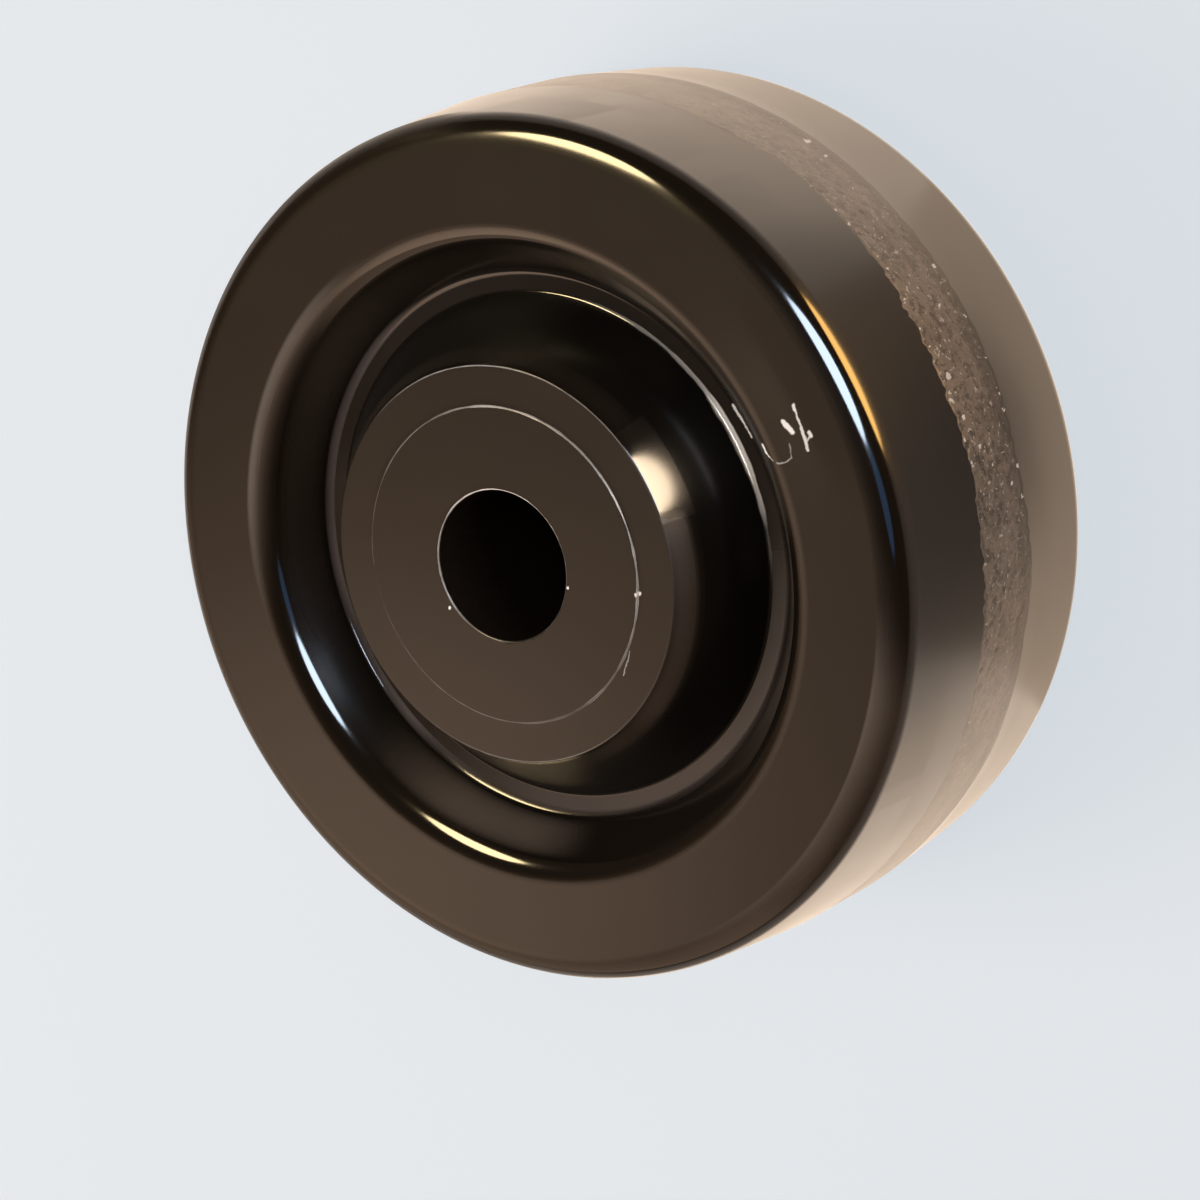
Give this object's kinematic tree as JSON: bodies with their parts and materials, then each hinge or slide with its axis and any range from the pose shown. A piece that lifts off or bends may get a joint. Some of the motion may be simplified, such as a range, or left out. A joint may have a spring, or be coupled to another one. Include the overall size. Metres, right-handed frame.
{
  "type": "castor wheel",
  "caption": "Solid moulded phenolic castor wheel with a drafted tread, a ground parting band, dished sides and a plain bored hub.",
  "frame": {"origin": "the wheel's centre, on the axle line and half way through its width", "axes": "+Z along the axle line. The wheel stands on the end of its hub, with either side up, because both sides are alike."},
  "size_m": [0.1524, 0.1524, 0.071],
  "materials": {
    "phenolic": "satin moulded phenolic, glossy in the dishes and on the rounded corners"
  },
  "bodies": {
    "root": {"phenolic_wheel": "phenolic"}
  },
  "joints": []
}
